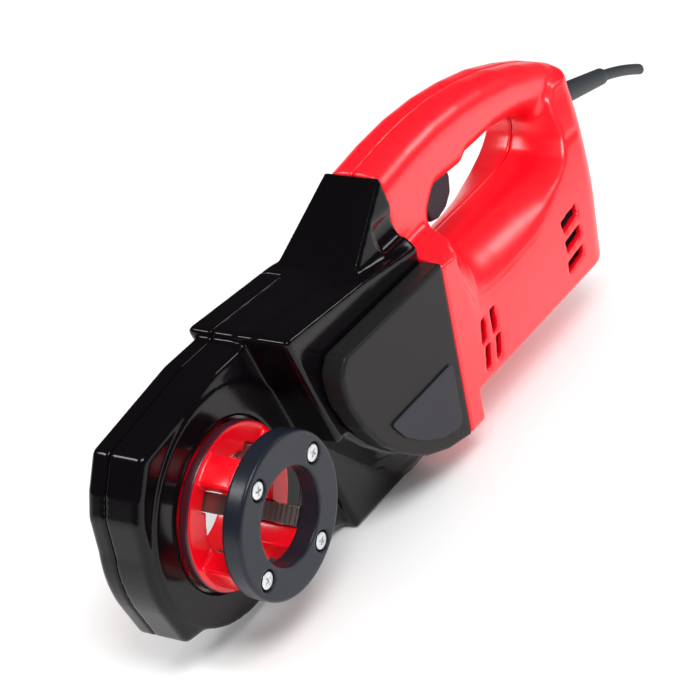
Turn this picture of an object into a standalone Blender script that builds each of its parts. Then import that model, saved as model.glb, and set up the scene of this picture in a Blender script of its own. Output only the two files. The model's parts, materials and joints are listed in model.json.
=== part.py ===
"""Hand-held electric pipe threading machine, as an assembly of separate pieces.

It is drawn in millimetres from the pipe axis, in the plane where the two handle halves
meet, and written in metres from ORIGIN, the middle of the box's underside.
+X runs back to the cord, -Y is the side the pipe enters from, +Z is up.
"""

from itertools import product
from math import acos, asin, atan2, cos, degrees, pi, radians, sin, sqrt, tan

import bmesh
import bpy
from mathutils import Matrix, Vector

MM = 0.001
GAP = 0.3
ORIGIN = Vector((182.0, -7.0, -64.0))

# Pipe, dies and guide
PIPE_BORE_R = 21.85
DIE_TIP_R = 19.6
DIE_OUTER_R = 27.2
DIE_WIDTH = 8.6
DIE_GROOVES = 7
DIE_ANGLES = (52, 142, 232, 322)
GUIDE_R = 37.3
GUIDE_FRONT_Y = -38.0
GUIDE_BACK_Y = -28.0
PILLAR_ANGLES = (35, 125, 215, 305)
SCREW_PITCH_R = 29.4
FLANGE_R = 37.8
FLANGE_FRONT_Y = -11.5
HUB_R = 36.2
HUB_END_Y = 15.6

# Gear case
CASE_NEAR_Y = -6.0
CASE_PARTING_Y = 12.0
CASE_FAR_Y = 22.0
CASE_OPENING_R = 38.8
NOSE_R = 58.6
LOWER_TIER_Y = -11.5
UPPER_TIER_Y = -28.0
BLOCK_FAR_Y = 25.0
BODY_HALF_WIDTH = 40.0
MATING_X = 142.4
BASE_Z = -64.0
NECK_BASE_Z = 58.0
NECK_TOP_Z = 86.3
DRUM_WALL = 2.6

# Gear train: every gear turns about Y except the motor's, which turns about X
RING_TEETH, IDLER_TEETH, PINION_TEETH = 48, 30, 12
RING_MODULE = 1.75
REDUCTION_TEETH, REDUCTION_PINION_TEETH = 60, 9
REDUCTION_MODULE = 0.95
CROWN_TEETH, MOTOR_PINION_TEETH = 38, 8
CROWN_MODULE = 0.95
CROWN_FACE = 5.0
RING_GEAR_Y = (0.0, 12.0)
DRUM_GEAR_Y = (-36.8, -30.6)
DRUM_SHAFT_Z = 12.0
JOURNAL_R = 39.6
BUSH_OUTER_R = 43.0
SHAFT_R = 5.0
BUSH_R = 8.0

# Motor: its barrel stands out on the near side, and the handle is in the middle
MOTOR_Y = -9.0
MOTOR_Z = -2.5
STATOR_R = 26.0
ARMATURE_R = 20.0
MOTOR_SHAFT_R = 4.0
BEARING_R = 11.0
WALL = 2.5

# Housing and handle
HOUSING_FAR_Y = 22.0
HOUSING_BASE_Z = -31.0
GRIP_HALF_WIDTH = 17.0
GRIP_EDGE = 6.0
GRIP_WALL = 3.5
GRIP_ROOM = 10.0
TRIGGER_PIVOT = (187.0, 0.0, 61.0)
TRIGGER_HALF_WIDTH = 7.5
CORD_DROP_DEG = 13.0
CORD_EXIT = (303.0, 0.0, 41.0)
CORD_R = 3.0

# The housing from above: height, near and far half widths, rear end and corner radius
PLAN = (
    (-50, 40, 22, 300, 24),
    (-10, 40, 22, 302, 24),
    (6, 38, 21.4, 305, 22),
    (25, 33, 17.8, 310, 20),
    (41, 27.5, 17.3, 314.5, 18),
    (60, 18, 15.8, 321, 15))

# How far the housing has fallen from its ridge to its sides, at distances from the ridge
SCOOP_LEVELS = ((5, 0.0), (13.4, 0.14), (22, 0.42), (27.4, 0.76), (29.6, 1.0), (36, 1.0))

# Where the shafts stand: the pipe axis, idler and drum shaft are in one line
RING_PITCH_R = RING_MODULE * RING_TEETH / 2
IDLER_PITCH_R = RING_MODULE * IDLER_TEETH / 2
PINION_PITCH_R = RING_MODULE * PINION_TEETH / 2
DRUM_DISTANCE = RING_PITCH_R + 2 * IDLER_PITCH_R + PINION_PITCH_R
TRAIN_ANGLE = degrees(asin(DRUM_SHAFT_Z / DRUM_DISTANCE))
IDLER_DISTANCE = RING_PITCH_R + IDLER_PITCH_R
IDLER_X = IDLER_DISTANCE * cos(radians(TRAIN_ANGLE))
IDLER_Z = IDLER_DISTANCE * sin(radians(TRAIN_ANGLE))
DRUM_X = DRUM_DISTANCE * cos(radians(TRAIN_ANGLE))
REDUCTION_DISTANCE = REDUCTION_MODULE * (REDUCTION_TEETH + REDUCTION_PINION_TEETH) / 2
BEVEL_DROP = DRUM_SHAFT_Z - MOTOR_Z
BEVEL_X = DRUM_X + sqrt(REDUCTION_DISTANCE**2 - BEVEL_DROP**2)
BEVEL_ANGLE = degrees(atan2(-BEVEL_DROP, BEVEL_X - DRUM_X))


# ---------------------------------------------------------------- helpers


def clear_scene():
    for obj in list(bpy.data.objects):
        bpy.data.objects.remove(obj, do_unlink=True)


def material(name, colour, roughness, metallic=0.0):
    made = bpy.data.materials.new(name)
    made.use_nodes = True
    shader = made.node_tree.nodes["Principled BSDF"]
    shader.inputs["Base Color"].default_value = (*colour, 1.0)
    shader.inputs["Roughness"].default_value = roughness
    shader.inputs["Metallic"].default_value = metallic
    return made


def frame_at(name, location):
    """An empty on a joint's axis; the pieces that move together are its children."""
    empty = bpy.data.objects.new(name, None)
    empty.location = (Vector(location) - ORIGIN) * MM
    bpy.context.scene.collection.objects.link(empty)
    return empty


def point(axis, along, a, b):
    """A point at `along` on the axis, with a and b in the plane across it."""
    if axis == "X":
        return Vector((along, a, b))
    if axis == "Y":
        return Vector((a, along, b))
    return Vector((a, b, along))


def circle(radius, centre=(0.0, 0.0), count=32, start=0.0):
    """Points on a circle, anticlockwise from the start angle in degrees."""
    angles = [radians(start) + 2 * pi * i / count for i in range(count)]
    return [(centre[0] + radius * cos(t), centre[1] + radius * sin(t)) for t in angles]


def arc(radius, start, end, count, centre=(0.0, 0.0)):
    """Points on an arc between two angles in degrees, both ends included."""
    angles = [radians(start + (end - start) * i / (count - 1)) for i in range(count)]
    return [(centre[0] + radius * cos(t), centre[1] + radius * sin(t)) for t in angles]


def rectangle(a_low, a_high, b_low, b_high):
    return [(a_low, b_low), (a_high, b_low), (a_high, b_high), (a_low, b_high)]


def signed_area(points):
    pairs = zip(points, points[1:] + points[:1])
    return sum(p[0] * q[1] - q[0] * p[1] for p, q in pairs) / 2


def inset(points, distance):
    """The outline moved inwards by a distance, or outwards by a negative one."""
    side = 1.0 if signed_area(points) > 0 else -1.0
    moved = []
    for i, here in enumerate(points):
        here = Vector(here)
        before = (here - Vector(points[i - 1])).normalized()
        after = (Vector(points[(i + 1) % len(points)]) - here).normalized()
        normal_before = Vector((-before.y, before.x)) * side
        normal_after = Vector((-after.y, after.x)) * side
        bisector = (normal_before + normal_after).normalized()
        reach = distance / max(bisector.dot(normal_after), 0.35)
        moved.append(tuple(here + bisector * reach))
    return moved


def prism(outline, axis, low, high, holes=()):
    """A flat outline, with holes, extruded along an axis."""
    shape = bmesh.new()
    edges = []
    for loop in (outline, *holes):
        verts = [shape.verts.new(point(axis, low, a, b)) for a, b in loop]
        edges += [shape.edges.new((verts[i - 1], verts[i])) for i in range(len(verts))]
    filled = bmesh.ops.triangle_fill(shape, use_beauty=True, edges=edges)["geom"]
    faces = [item for item in filled if isinstance(item, bmesh.types.BMFace)]
    grown = bmesh.ops.extrude_face_region(shape, geom=faces)["geom"]
    verts = [item for item in grown if isinstance(item, bmesh.types.BMVert)]
    bmesh.ops.translate(shape, verts=verts, vec=point(axis, high - low, 0, 0))
    return shape


def stacked(sections, axis):
    """A shape through sections along an axis: (along, outline), each with as many points."""
    shape = bmesh.new()
    rows = []
    for along, outline in sections:
        rows.append([shape.verts.new(point(axis, along, a, b)) for a, b in outline])
    for row, after in zip(rows, rows[1:]):
        for i in range(len(row)):
            shape.faces.new((row[i - 1], row[i], after[i], after[i - 1]))
    shape.faces.new(rows[0])
    shape.faces.new(rows[-1])
    shape.normal_update()
    bmesh.ops.triangulate(shape, faces=shape.faces, ngon_method="EAR_CLIP")
    return shape


def turned(profile, axis, centre, count=32, start=3.7):
    """A turned shape. profile is a closed list of (radius, along) points."""
    shape = bmesh.new()
    rings = []
    for radius, along in profile:
        if radius == 0:
            rings.append([shape.verts.new(point(axis, along, *centre))])
            continue
        spots = circle(radius, centre, count, start)
        rings.append([shape.verts.new(point(axis, along, a, b)) for a, b in spots])
    for ring, after in zip(rings, rings[1:] + rings[:1]):
        for i in range(count):
            corners = [ring[i % len(ring)], ring[(i + 1) % len(ring)]]
            corners += [after[(i + 1) % len(after)], after[i % len(after)]]
            corners = list(dict.fromkeys(corners))
            if len(corners) > 2:
                shape.faces.new(corners)
    return shape


def tube(outer, inner, axis, low, high, centre=(0.0, 0.0), count=32):
    profile = [(outer, low), (outer, high), (inner, high), (inner, low)]
    return turned(profile, axis, centre, count)


def rod(radius, axis, low, high, centre=(0.0, 0.0), count=20):
    profile = [(0, low), (radius, low), (radius, high), (0, high)]
    return turned(profile, axis, centre, count)


def hull(points):
    shape = bmesh.new()
    for spot in points:
        shape.verts.new(spot)
    bmesh.ops.convex_hull(shape, input=shape.verts)
    return shape


def block(low, high):
    return hull(list(product(*zip(low, high))))


def put(name, shape, look=None, frame=None, smooth=True):
    """Make an object from a shape in millimetres, on its joint's frame if it moves."""
    bmesh.ops.recalc_face_normals(shape, faces=shape.faces)
    bmesh.ops.translate(shape, vec=-ORIGIN, verts=shape.verts)
    bmesh.ops.scale(shape, vec=(MM, MM, MM), verts=shape.verts)
    if frame:
        bmesh.ops.translate(shape, vec=-frame.location, verts=shape.verts)
    mesh = bpy.data.meshes.new(name)
    shape.to_mesh(mesh)
    shape.free()
    if smooth:
        mesh.shade_smooth()
        mesh.set_sharp_from_angle(angle=radians(35))
    if look:
        mesh.materials.append(look)
    obj = bpy.data.objects.new(name, mesh)
    obj.parent = frame
    bpy.context.scene.collection.objects.link(obj)
    return obj


def join(target, shape, operation):
    """Add a shape to an object, or cut it away, with a helper that isn't rendered."""
    helper = put(f"{target.name}_helper", shape, smooth=False)
    helper.hide_render = True
    helper.display_type = "WIRE"
    change = target.modifiers.new(operation.lower(), "BOOLEAN")
    change.operation = operation
    change.object = helper


def cut_together(target, shapes):
    """Cut several shapes that meet each other away in one go."""
    first, *others = shapes
    join(target, first, "DIFFERENCE")
    tool = target.modifiers[-1].object
    for shape in others:
        add(tool, shape)


def add(target, shape):
    join(target, shape, "UNION")


def cut(target, shape):
    join(target, shape, "DIFFERENCE")


# ---------------------------------------------------------------- gears


def involute(angle):
    return tan(angle) - angle


def gear_outline(teeth, module, centre=(0.0, 0.0), phase=0.0, addendum=0.85, slack=0.14):
    """Straight-flanked teeth drawn through the involute at the root and the tip."""
    pressure = radians(20)
    pitch_r = module * teeth / 2
    base_r = pitch_r * cos(pressure)
    root_r = pitch_r - 1.1 * module
    tip_r = pitch_r + addendum * module
    half_pitch = pi / (2 * teeth) * (1 - slack) + involute(pressure)
    half_tip = half_pitch - involute(acos(base_r / tip_r))
    start_r = max(root_r, base_r)
    half_root = half_pitch - involute(acos(base_r / start_r))
    spots = []
    for tooth in range(teeth):
        middle = radians(phase) + 2 * pi * tooth / teeth
        corners = ((root_r, -half_root), (tip_r, -half_tip), (tip_r, half_tip), (root_r, half_root))
        for radius, turn in corners:
            a, b = radius * cos(middle + turn), radius * sin(middle + turn)
            spots.append((centre[0] + a, centre[1] + b))
    return spots


def meshing_phase(phase, teeth, other_teeth, direction):
    """The phase of a gear that meshes with one of the given phase, in its direction."""
    lead = (phase - direction) % (360 / teeth)
    gap_middle = direction + 180 - lead * teeth / other_teeth
    return gap_middle + 180 / other_teeth


def bevel_gear(teeth, other_teeth, module, face, apex, axis, side, phase, back):
    """A straight bevel gear whose teeth taper to the apex; back is its hub's length."""
    pitch_r = module * teeth / 2
    cone = atan2(teeth, other_teeth)
    reach = pitch_r / sin(cone)
    shrink = 1 - face / reach
    outer = []
    for a, b in gear_outline(teeth, module, phase=phase):
        rise = sqrt(a * a + b * b) - pitch_r
        along = reach * cos(cone) - rise * sin(cone)
        outer.append((pitch_r + rise * cos(cone), along, atan2(b, a)))
    inner = [(radius * shrink, along * shrink, turn) for radius, along, turn in outer]
    hub_r = pitch_r - 1.4 * module * cos(cone)
    hub_end = max(along for _, along, _ in outer) + back
    hub = [(hub_r, hub_end, turn) for _, _, turn in outer]
    shape = bmesh.new()
    rows = []
    for loop in (inner, outer, hub):
        spots = [point(axis, side * d, r * cos(t), r * sin(t)) for r, d, t in loop]
        rows.append([shape.verts.new(spot + Vector(apex)) for spot in spots])
    front_end = min(along for _, along, _ in inner) + 0.2
    poles = [shape.verts.new(point(axis, side * d, 0, 0) + Vector(apex)) for d in (front_end, hub_end)]
    for i in range(len(outer)):
        j = (i + 1) % len(outer)
        for row, after in zip(rows, rows[1:]):
            shape.faces.new((row[i], row[j], after[j], after[i]))
        shape.faces.new((rows[0][i], rows[0][j], poles[0]))
        shape.faces.new((rows[-1][i], rows[-1][j], poles[1]))
    return shape


# ---------------------------------------------------------------- outlines in the side view


def nose_outline():
    """The gear head: a round nose, flat facets above it and a falling underside."""
    front = [(11, 60), (-45, 52), (-54, 37), (-58, 26)]
    front += arc(NOSE_R, 175, 203, 6)
    front += [(-46, -42), (-3, -49), (68, -60), (82, BASE_Z)]
    rear = [(132, BASE_Z), (150, -50), (150, 40), (100, 54), (34, 60)]
    return front + rear


def block_outline():
    """The gearbox behind the head, with one slanted front wall."""
    return [(34, 64), (78, BASE_Z), (136, BASE_Z), (151, -48), (151, 52), (98, 59.5)]


def tier_sections():
    """The stepped-out part that the drum cover closes, its wall flaring to the block."""
    front = [(34, 64), (56.5, -1.5)]
    rear = [(152, -47), (152, 50), (97, 59)]
    root = [(62, -8), (79, -25), (97, -44), (118, -60), (126, BASE_Z + 1), (134, BASE_Z + 1)]
    rim = [(62, 1), (76, -14.5), (94, -29.5), (112, -39.5), (124, -43.5), (134, -45.5)]
    return [(LOWER_TIER_Y + 2, front + root + rear), (LOWER_TIER_Y, front + root + rear),
            (UPPER_TIER_Y, front + rim + rear)]


def drum_outline():
    """The round drum, square to the handle at the back."""
    front = [(58, 45), (52, 38), (52, 30), (53.5, 22), (61, 6), (73, -11), (83, -20.5)]
    lower = [(94, -29), (105, -36), (122, -43), (MATING_X, -47.5)]
    return front + lower + [(MATING_X, 45)]


def wide_outline(level):
    """The motor housing from the side, from its ridge (level 0) out to its sides (level 1)."""
    bottom = [(MATING_X + GAP, -47), (156, -47), (156, HOUSING_BASE_Z)]
    bottom += [(330, HOUSING_BASE_Z), (330, 56)]
    ridge = [(292, 59), (282, 55), (278.5, 48), (276, 38), (270, 30.5), (262, 28.2), (250, 28)]
    ridge += [(240, 28), (226, 28), (200, 28), (182, 29), (176, 39), (170, 48)]
    crease = [(298, 58), (291, 54), (292, 47), (291, 40), (286, 32), (277, 26), (266, 19.5)]
    crease += [(250, 12), (230, 6.5), (200, 4.5), (168, 6.3), (157, 26), (155, 42)]
    scoop = [tuple(Vector(a).lerp(Vector(b), level)) for a, b in zip(ridge, crease)]
    return bottom + scoop + [(MATING_X + GAP, 45)]


def wide_sections(wall=0.0):
    """Side views of the housing at several widths, each drawn in by the wall."""
    half = [(wide - wall, level) for wide, level in SCOOP_LEVELS]
    both = [(MOTOR_Y - wide, level) for wide, level in reversed(half)]
    both += [(MOTOR_Y + wide, level) for wide, level in half]
    return [(y, inset(wide_outline(level), wall)) for y, level in both]


def plan_side(half_width, front_width, rear, radius, wall):
    corner = arc(radius - wall, 0, 90, 5, (rear - radius, half_width - radius))
    front = front_width - wall
    return corner + [(175, half_width - wall), (160, front), (120, front)]


def plan_outline(near, far, rear, radius, wall):
    """The housing from above, at one height: square in front and round at the back."""
    near_side = plan_side(near, BODY_HALF_WIDTH, rear, radius, wall)
    far_side = plan_side(far, HOUSING_FAR_Y, rear, radius, wall)
    return [(x, -y) for x, y in reversed(near_side)] + far_side


def plan_sections(wall=0.0):
    return [(z, plan_outline(*plan, wall)) for z, *plan in PLAN]


def handle_outline():
    """The handle band, seen from the side."""
    bottom = [(134, -40), (160, -29), (292, -26)]
    rear = [(299, -10), (304, 10), (312, 40), (319.5, 55), (315, 62)]
    top = [(305, 67), (286, 74.5), (263, 82), (239, 87), (216, 90)]
    top += [(192, 91), (168, 89.7), (134, 86)]
    return bottom + rear + top


def loop_outline():
    """The opening in the handle band. The motor housing fills its lower part again."""
    lower = [(181, 22), (198, 8), (240, 8), (262, 18), (272, 29), (277, 38), (279, 46.5)]
    upper = [(276, 51), (268, 54), (256, 56.5), (244, 58.2), (217, 58.5), (212, 55.5), (186, 57)]
    return lower + upper + [(179.5, 50)]


# ---------------------------------------------------------------- gear case


CASE_SCREWS = ((-43, 38), (-42, -33), (24, 53), (88, -56))
FLANGE_SCREWS = ((-34, 37), (-34, -39.5), (15.5, -39.5))


def black_casing(name, look):
    """The whole casing before it is divided into the case and its far cover."""
    opening = circle(CASE_OPENING_R, count=38, start=3.7)
    body = put(name, prism(nose_outline(), "Y", CASE_NEAR_Y, CASE_FAR_Y, holes=[opening]), look)
    add(body, prism(block_outline(), "Y", LOWER_TIER_Y, BLOCK_FAR_Y))
    add(body, stacked(tier_sections(), "Y"))
    add(body, neck())
    add(body, shoulder())
    cut(body, block((MATING_X, -60, -80), (MATING_X + 30, 60, 100)))
    return body


def neck():
    foot = [(99, y, NECK_BASE_Z - 3) for y in (-22, 22)] + [(154, y, NECK_BASE_Z - 3) for y in (-22, 22)]
    head = [(141, y, NECK_TOP_Z) for y in (-14.5, 14.5)] + [(154, y, NECK_TOP_Z) for y in (-14.5, 14.5)]
    return hull(foot + head)


def shoulder():
    near, far = UPPER_TIER_Y + 1.5, BLOCK_FAR_Y - 1.0
    foot = [(x, y, 42) for x in (101, 155) for y in (near, far)]
    head = [(x, y, NECK_BASE_Z) for x in (101, 155) for y in (-21, 21)]
    return hull(foot + head)


def gear_pockets():
    """Space for the ring, the idler and the drum pinion between the two halves."""
    low, high = RING_GEAR_Y[0] - 0.4, CASE_PARTING_Y + 2 * GAP
    tip = 0.85 * RING_MODULE + 1.2
    ring = rod(RING_PITCH_R + tip, "Y", low, high, count=40)
    idler_space = rod(IDLER_PITCH_R + tip, "Y", low - 0.1, high + 0.1, (IDLER_X, IDLER_Z), 32)
    pinion = rod(PINION_PITCH_R + tip, "Y", CASE_NEAR_Y - 2, high + 0.2, (DRUM_X, DRUM_SHAFT_Z), 24)
    return [ring, idler_space, pinion]


def gear_case(look):
    body = black_casing("gear_case", look)
    cut(body, block((-80, CASE_PARTING_Y, -80), (160, 60, NECK_BASE_Z - GAP)))
    cut(body, block((-80, CASE_PARTING_Y, NECK_BASE_Z - 1), (93, 60, 90)))
    for x, z in CASE_SCREWS:
        cut(body, rod(2.0 + GAP, "Y", 4.1, CASE_FAR_Y + 9, (x, z), 11))
    pocket = [(46, 55), (119, 38), (119, -40), (97, -34), (76, -13), (62, 1)]
    drum_spot, bevel_spot = (DRUM_X, DRUM_SHAFT_Z), (BEVEL_X, MOTOR_Z)
    spaces = gear_pockets()
    spaces.append(rod(BUSH_OUTER_R + GAP, "Y", -3.0, 0.9, count=38))
    spaces.append(rod(SHAFT_R + GAP, "Y", CASE_NEAR_Y - 3, 2, (IDLER_X, IDLER_Z), 18))
    spaces.append(prism(pocket, "Y", UPPER_TIER_Y + 4, CASE_NEAR_Y - 1))
    spaces.append(block((113.2, UPPER_TIER_Y + 4.5, -44), (160, CASE_PARTING_Y + 1, 41)))
    spaces.append(rod(BUSH_R + GAP, "Y", UPPER_TIER_Y - 2, UPPER_TIER_Y + 9, drum_spot, 20))
    spaces.append(rod(BUSH_R + GAP, "Y", UPPER_TIER_Y - 2, UPPER_TIER_Y + 9, bevel_spot, 20))
    cut_together(body, spaces)


def far_cover(look):
    body = black_casing("gear_case_far_cover", look)
    cut(body, block((-80, -60, -80), (160, CASE_PARTING_Y + GAP, 100)))
    cut(body, block((93 - GAP, 0, NECK_BASE_Z - 2 * GAP), (160, 60, 100)))
    cut(body, rod(BUSH_OUTER_R + GAP, "Y", CASE_PARTING_Y - 1, 15.5, count=41))
    for x, z in ((DRUM_X, DRUM_SHAFT_Z), (BEVEL_X, MOTOR_Z)):
        cut(body, rod(BUSH_R + GAP, "Y", CASE_PARTING_Y - 1, 19, (x, z), 24))
    cut(body, rod(SHAFT_R + GAP, "Y", CASE_PARTING_Y - 1, 19, (IDLER_X, IDLER_Z), 20))
    for x, z in CASE_SCREWS:
        cut(body, rod(2.0 + GAP, "Y", 4.0, CASE_FAR_Y + 9, (x, z), 12))
    cut_flange_screws(body, 1)


def cut_flange_screws(body, side):
    for y, z in FLANGE_SCREWS:
        if y * side > 0:
            cut(body, rod(2.0 + GAP, "X", 126, 158, (y, z), 12))
            cut(body, rod(5.0, "X", 156, 176, (y, z), 14))


def drum_cover(look):
    body = put("drum_cover", prism(drum_outline(), "Y", -BODY_HALF_WIDTH, UPPER_TIER_Y - GAP), look)
    tip = 0.85 * REDUCTION_MODULE + 1.0
    low, high = -BODY_HALF_WIDTH + DRUM_WALL, UPPER_TIER_Y + 2
    reach = REDUCTION_MODULE * REDUCTION_TEETH / 2 + tip
    cut(body, rod(reach, "Y", low, high, (DRUM_X, DRUM_SHAFT_Z), 40))
    cut(body, rod(8.0, "Y", low + 0.1, high + 1, (BEVEL_X, MOTOR_Z), 20))
    cut_flange_screws(body, -1)


def badge_plate(look):
    """A blank plate near the drum cover's lower rear corner."""
    outline = [(83, -3), (133, -3), (135, -5), (135, -34), (131, -37)]
    outline += [(116, -33), (101, -25), (88, -15), (80, -6)]
    front = -BODY_HALF_WIDTH - GAP
    put("badge_plate", prism(outline, "Y", front - 0.7, front), look, smooth=False)


# ---------------------------------------------------------------- die head and drive ring


def polar(radius, angle):
    return (radius * cos(radians(angle)), radius * sin(radians(angle)))


def sector(inner, outer, middle, half_angle, count=5):
    """Part of a ring, as an outline."""
    there = arc(outer, middle - half_angle, middle + half_angle, count)
    back = arc(inner, middle + half_angle, middle - half_angle, count)
    return there + back


def die_slot(low_r, high_r, width, angle, y_low, y_high):
    """A block that points out from the pipe axis."""
    outline = rectangle(low_r, high_r, -width / 2, width / 2)
    turn = Matrix.Rotation(radians(angle), 2)
    turned_outline = [tuple(turn @ Vector(spot)) for spot in outline]
    return prism(turned_outline, "Y", y_low, y_high)


def drive_ring(look, frame):
    octagon = circle(HUB_R + 0.6, count=8, start=22.5)
    teeth = gear_outline(RING_TEETH, RING_MODULE, phase=TRAIN_ANGLE)
    body = put("drive_ring_gear", prism(teeth, "Y", *RING_GEAR_Y, holes=[octagon]), look, frame)
    for low, high in ((-2.7, 1.0), (11.0, 15.0)):
        add(body, prism(circle(JOURNAL_R, count=40), "Y", low, high, holes=[octagon]))


def ring_bushes(look):
    for name, low, high in (("ring_bush_near", -2.7, -0.6), ("ring_bush_far", 12.6, 15.0)):
        put(name, tube(BUSH_OUTER_R, JOURNAL_R + 0.35, "Y", low, high, count=40), look)


def die_head(look, frame):
    profile = [(0, FLANGE_FRONT_Y), (FLANGE_R - 1.2, FLANGE_FRONT_Y), (FLANGE_R, FLANGE_FRONT_Y + 1.2)]
    profile += [(FLANGE_R, CASE_NEAR_Y - GAP), (0, CASE_NEAR_Y - GAP)]
    body = put("die_head_body", turned(profile, "Y", (0, 0), 40), look, frame)
    add(body, prism(circle(HUB_R, count=8, start=22.5), "Y", CASE_NEAR_Y - 1.5, HUB_END_Y))
    for angle in PILLAR_ANGLES:
        pillar = sector(22.0, 35.6, angle - 6, 12.5)
        add(body, prism(pillar, "Y", GUIDE_BACK_Y + GAP, FLANGE_FRONT_Y + 1))
    cut(body, rod(24.2, "Y", -35, 25, count=30))
    for angle in DIE_ANGLES:
        cut(body, die_slot(13, DIE_OUTER_R + GAP, DIE_WIDTH + 2 * GAP, angle, -31, -5.4))
    for angle in PILLAR_ANGLES:
        cut(body, rod(2.0 + GAP, "Y", -29, -15, polar(SCREW_PITCH_R, angle), 10))


def dies(look, frame):
    half = DIE_WIDTH / 2
    step = DIE_WIDTH / DIE_GROOVES
    comb = [(DIE_OUTER_R, -half), (DIE_OUTER_R, half)]
    for i in range(DIE_GROOVES):
        comb += [(DIE_TIP_R + 0.9, half - i * step), (DIE_TIP_R, half - (i + 0.5) * step)]
    comb.append((DIE_TIP_R + 0.9, -half))
    for number, angle in enumerate(DIE_ANGLES, 1):
        turn = Matrix.Rotation(radians(angle), 2)
        spots = [tuple(turn @ Vector(spot)) for spot in comb]
        shape = prism(spots, "Y", GUIDE_BACK_Y + GAP, -6.0)
        put(f"thread_die_{number}", shape, look, frame, smooth=False)


def guide_ring(look, frame):
    profile = [
        (PIPE_BORE_R, GUIDE_FRONT_Y + 1.0), (PIPE_BORE_R + 1.0, GUIDE_FRONT_Y), (GUIDE_R - 1.5, GUIDE_FRONT_Y),
        (GUIDE_R, GUIDE_FRONT_Y + 1.5), (GUIDE_R, GUIDE_BACK_Y), (PIPE_BORE_R, GUIDE_BACK_Y)]
    body = put("guide_ring", turned(profile, "Y", (0, 0), 44), look, frame)
    countersink = [(0, -39), (5.0, -39), (5.0, -35.6), (2.3, -33.0), (2.3, -27), (0, -27)]
    for angle in PILLAR_ANGLES:
        cut(body, turned(countersink, "Y", polar(SCREW_PITCH_R, angle), 12))


def guide_screws(look, frame):
    profile = [(0, -38.2), (3.2, -38.2), (4.4, -37.4), (4.4, -35.9)]
    profile += [(2.0, -33.4), (2.0, -17), (0, -17)]
    for number, angle in enumerate(PILLAR_ANGLES, 1):
        centre = polar(SCREW_PITCH_R, angle)
        body = put(f"guide_screw_{number}", turned(profile, "Y", centre, 12), look, frame)
        for turn, bottom in ((20, -37.1), (110, -37.0)):
            arm = Matrix.Rotation(radians(turn), 2)
            spots = [tuple(Vector(centre) + arm @ Vector(s)) for s in rectangle(-2.2, 2.2, -0.45, 0.45)]
            cut(body, prism(spots, "Y", bottom - 3, bottom))


def retaining_ring(look, frame):
    put("retaining_ring", tube(37.6, 33.6, "Y", 15.9, 17.1, count=40), look, frame)


# ---------------------------------------------------------------- gear train


def idler(gear_look, shaft_look, bush_look, frame):
    centre = (IDLER_X, IDLER_Z)
    phase = meshing_phase(TRAIN_ANGLE, RING_TEETH, IDLER_TEETH, TRAIN_ANGLE)
    outline = gear_outline(IDLER_TEETH, RING_MODULE, centre, phase)
    bore = circle(BUSH_R + GAP, centre, 24)
    put("idler_gear", prism(outline, "Y", *RING_GEAR_Y, holes=[bore]), gear_look, frame)
    put("idler_bush", tube(BUSH_R, SHAFT_R + 0.2, "Y", 0.4, 11.6, centre, 24), bush_look, frame)
    put("idler_pin", rod(SHAFT_R, "Y", CASE_NEAR_Y - 0.6, 18.6, centre, 20), shaft_look)
    return phase


def drum_shaft(gear_look, shaft_look, bush_look, frame, idler_phase):
    centre = (DRUM_X, DRUM_SHAFT_Z)
    phase = meshing_phase(idler_phase, IDLER_TEETH, PINION_TEETH, TRAIN_ANGLE)
    outline = gear_outline(PINION_TEETH, RING_MODULE, centre, phase)
    bore = circle(SHAFT_R + GAP, centre, 20)
    put("drum_pinion", prism(outline, "Y", *RING_GEAR_Y, holes=[bore]), gear_look, frame)
    outline = gear_outline(REDUCTION_TEETH, REDUCTION_MODULE, centre)
    put("drum_gear", prism(outline, "Y", *DRUM_GEAR_Y, holes=[bore]), gear_look, frame)
    put("drum_shaft", rod(SHAFT_R, "Y", -37.1, 18.4, centre, 20), shaft_look, frame)
    for name, low, high in (("drum_bush_near", -27.6, -23.5), ("drum_bush_far", 12.9, 18.6)):
        put(name, tube(BUSH_R, SHAFT_R + 0.2, "Y", low, high, centre, 18), bush_look)


def bevel_shaft(gear_look, bush_look, frame):
    centre = (BEVEL_X, MOTOR_Z)
    phase = meshing_phase(0.0, REDUCTION_TEETH, REDUCTION_PINION_TEETH, BEVEL_ANGLE)
    outline = gear_outline(REDUCTION_PINION_TEETH, REDUCTION_MODULE, centre, phase)
    body = put("bevel_shaft", prism(outline, "Y", DRUM_GEAR_Y[0], -29.0), gear_look, frame)
    journal = [(0, -30.0), (2.6, -30.0), (2.6, -28.4), (SHAFT_R, -27.6), (SHAFT_R, 18.2), (0, 18.2)]
    add(body, turned(journal, "Y", centre, 20))
    for name, low, high in (("bevel_bush_near", -27.6, -23.5), ("bevel_bush_far", 12.9, 18.6)):
        put(name, tube(BUSH_R, SHAFT_R + 0.2, "Y", low, high, centre, 18), bush_look)
    crown = bevel_gear(CROWN_TEETH, MOTOR_PINION_TEETH, CROWN_MODULE, CROWN_FACE,
                       (BEVEL_X, MOTOR_Y, MOTOR_Z), "Y", -1, 0.0, 3.0)
    gear = put("bevel_gear", crown, gear_look, frame)
    cut(gear, rod(SHAFT_R + GAP, "Y", -30, 10, centre, 20))


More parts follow.
